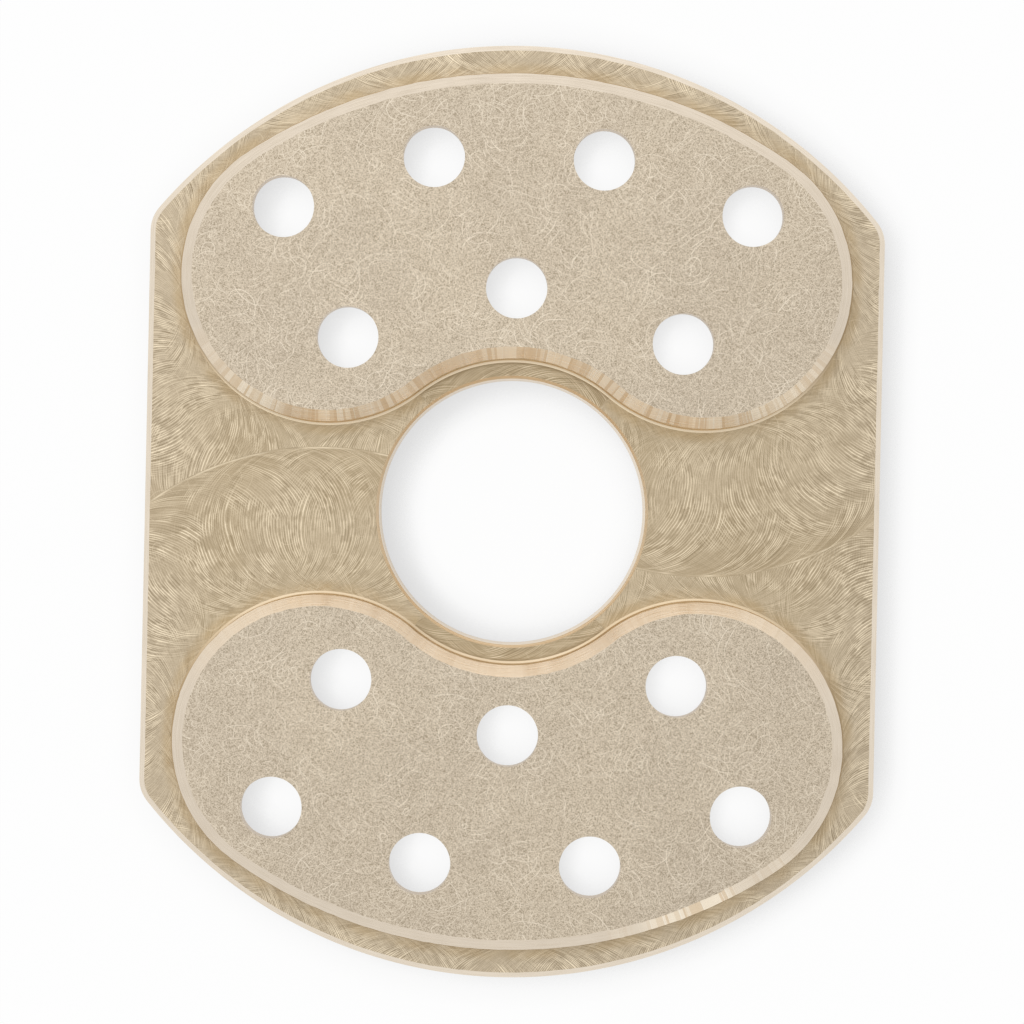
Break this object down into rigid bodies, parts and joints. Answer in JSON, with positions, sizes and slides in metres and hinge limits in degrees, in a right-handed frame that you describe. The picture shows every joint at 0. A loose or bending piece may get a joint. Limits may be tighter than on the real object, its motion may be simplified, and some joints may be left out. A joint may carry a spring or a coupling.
{
  "type": "pasta extrusion die",
  "caption": "Flat-sided round bronze die plate with a centre bore and two raised kidney pads whose round orifices shape pasta dough.",
  "frame": {"origin": "on the axis of the centre bore, in the plane of the flat back face", "axes": "+Z along the bore out of the pad side, where the pasta leaves; +Y towards the middle of one pad; +X towards one side flat"},
  "size_m": [0.0662, 0.084, 0.01],
  "materials": {
    "bronze": "milled, with sanded pad faces"
  },
  "bodies": {
    "root": {"die_plate": "bronze"}
  },
  "joints": []
}
